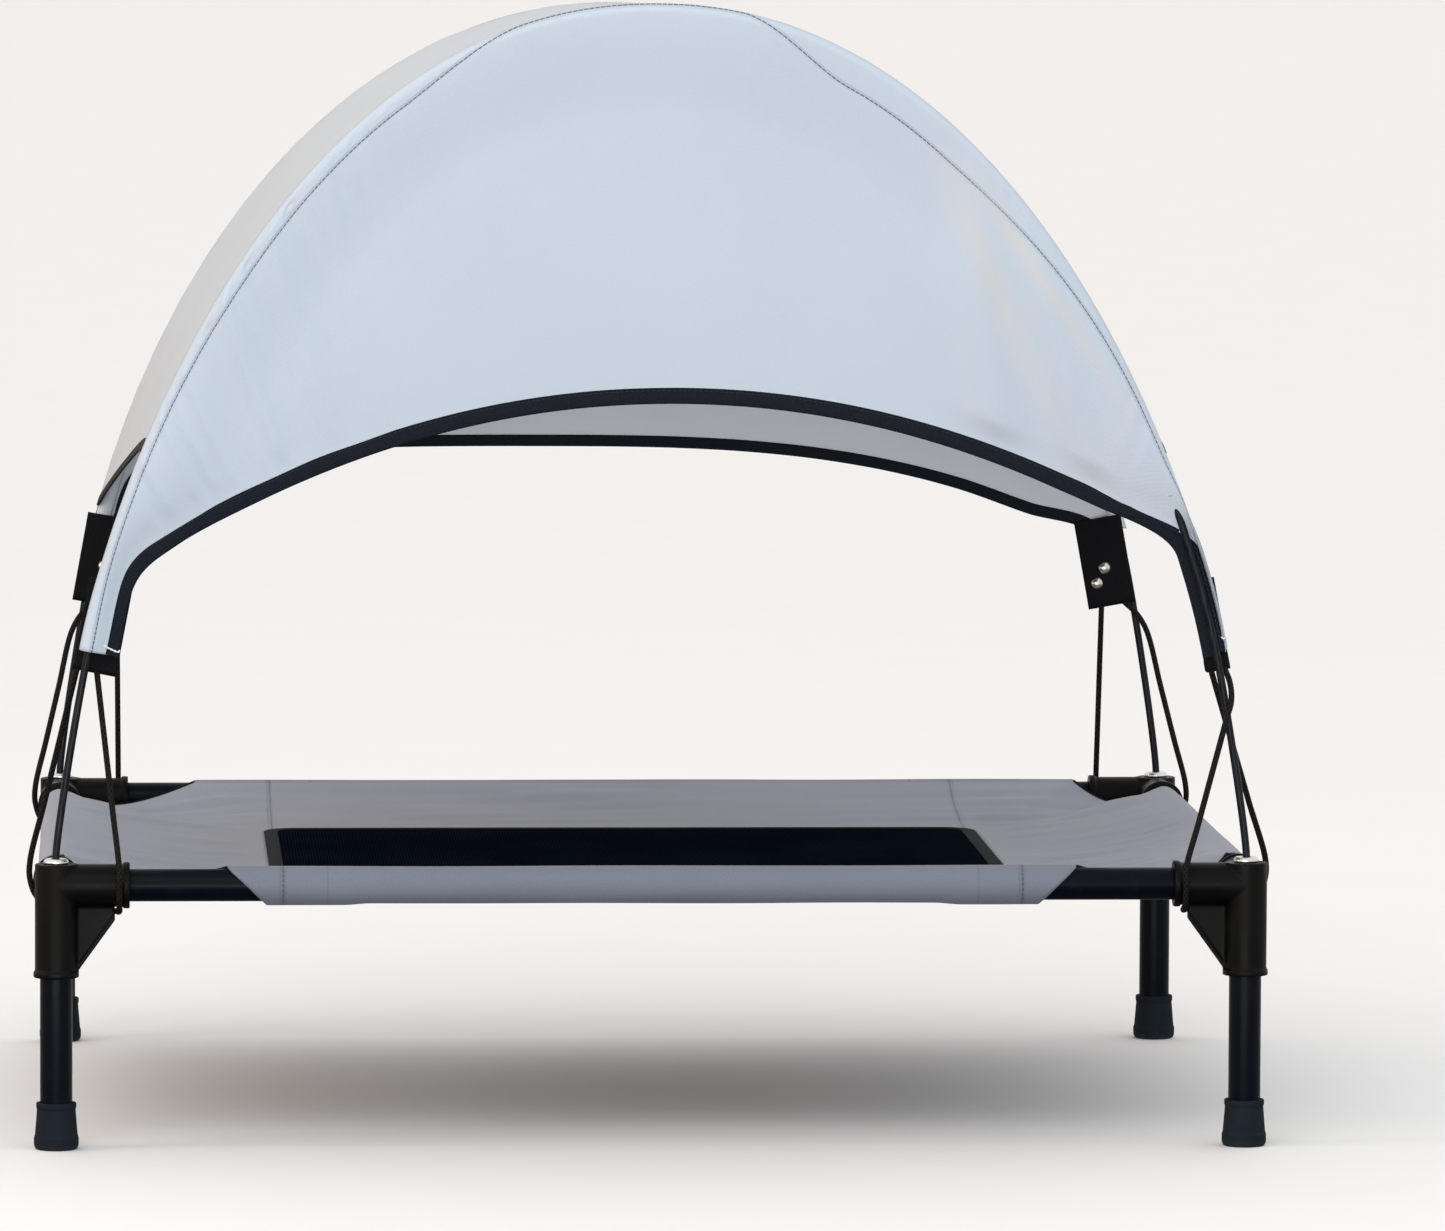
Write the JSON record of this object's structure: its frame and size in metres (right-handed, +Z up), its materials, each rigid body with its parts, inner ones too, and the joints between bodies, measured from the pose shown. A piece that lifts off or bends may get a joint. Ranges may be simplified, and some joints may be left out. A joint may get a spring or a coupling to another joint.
{
  "type": "raised pet cot with shade canopy",
  "caption": "Raised pet cot: fabric bed with a mesh centre on a black tube frame, shaded by a clip-on canopy on two arched poles.",
  "frame": {"origin": "on the floor under the middle of the cot", "axes": "+X to the viewer's right along the long side, -Y the front, +Z up"},
  "size_m": [0.8247, 0.6466, 0.753],
  "materials": {
    "black_steel": "satin black powder coat",
    "connector_plastic": "fine-grained moulded black",
    "foot_rubber": "matte black",
    "socket_metal": "bright turned",
    "rivet_metal": "domed, worn nickel",
    "pole_fibreglass": "smooth dark grey fibreglass",
    "bed_fabric": "blue-grey woven polyester",
    "bed_mesh": "dark navy open mesh",
    "canopy_fabric": "pale silver-blue woven polyester",
    "black_webbing": "ribbed black tape",
    "elastic_cord": "braided black elastic"
  },
  "bodies": {
    "cot": {"corner_connector_front_left": "connector_plastic", "corner_connector_front_right": "connector_plastic", "corner_connector_rear_left": "connector_plastic", "corner_connector_rear_right": "connector_plastic", "pole_socket_front_left": "socket_metal", "pole_socket_front_right": "socket_metal", "pole_socket_rear_left": "socket_metal", "pole_socket_rear_right": "socket_metal", "front_rail": "black_steel", "rear_rail": "black_steel", "left_rail": "black_steel", "right_rail": "black_steel", "bed_cover": "bed_fabric", "mesh_panel": "bed_mesh", "mesh_border": "black_webbing"},
    "canopy": {"corner_tab_front_left": "black_webbing", "rivet_upper_front_left": "rivet_metal", "rivet_lower_front_left": "rivet_metal", "elastic_loop_front_left": "elastic_cord", "corner_tab_front_right": "black_webbing", "rivet_upper_front_right": "rivet_metal", "rivet_lower_front_right": "rivet_metal", "elastic_loop_front_right": "elastic_cord", "corner_tab_rear_left": "black_webbing", "rivet_upper_rear_left": "rivet_metal", "rivet_lower_rear_left": "rivet_metal", "elastic_loop_rear_left": "elastic_cord", "corner_tab_rear_right": "black_webbing", "rivet_upper_rear_right": "rivet_metal", "rivet_lower_rear_right": "rivet_metal", "elastic_loop_rear_right": "elastic_cord", "front_pole_right_half": "pole_fibreglass", "front_pole_left_half": "pole_fibreglass", "front_pole_joiner": "socket_metal", "front_pole_sleeve": "canopy_fabric", "front_valance": "canopy_fabric", "front_hem_binding": "black_webbing", "rear_pole_right_half": "pole_fibreglass", "rear_pole_left_half": "pole_fibreglass", "rear_pole_joiner": "socket_metal", "rear_pole_sleeve": "canopy_fabric", "rear_valance": "canopy_fabric", "rear_hem_binding": "black_webbing", "canopy_roof": "canopy_fabric", "left_side_binding": "black_webbing", "right_side_binding": "black_webbing"},
    "leg_front_left": {"leg_tube_front_left": "black_steel", "foot_front_left": "foot_rubber"},
    "leg_front_right": {"leg_tube_front_right": "black_steel", "foot_front_right": "foot_rubber"},
    "leg_rear_left": {"leg_tube_rear_left": "black_steel", "foot_rear_left": "foot_rubber"},
    "leg_rear_right": {"leg_tube_rear_right": "black_steel", "foot_rear_right": "foot_rubber"}
  },
  "joints": [
    {"name": "canopy_lift", "type": "slide", "parent": "cot", "child": "canopy", "axis": [0, 0, 1], "range_m": [0, 0.03], "stiffness_N_per_m": 300, "springref_m": -0.03, "deforming": ["elastic_loop_front_left", "elastic_loop_front_right", "elastic_loop_rear_left", "elastic_loop_rear_right"]},
    {"name": "leg_front_left_pull", "type": "slide", "parent": "cot", "child": "leg_front_left", "axis": [0, 0, -1], "range_m": [0, 0.05]},
    {"name": "leg_front_right_pull", "type": "slide", "parent": "cot", "child": "leg_front_right", "axis": [0, 0, -1], "range_m": [0, 0.05]},
    {"name": "leg_rear_left_pull", "type": "slide", "parent": "cot", "child": "leg_rear_left", "axis": [0, 0, -1], "range_m": [0, 0.05]},
    {"name": "leg_rear_right_pull", "type": "slide", "parent": "cot", "child": "leg_rear_right", "axis": [0, 0, -1], "range_m": [0, 0.05]}
  ]
}
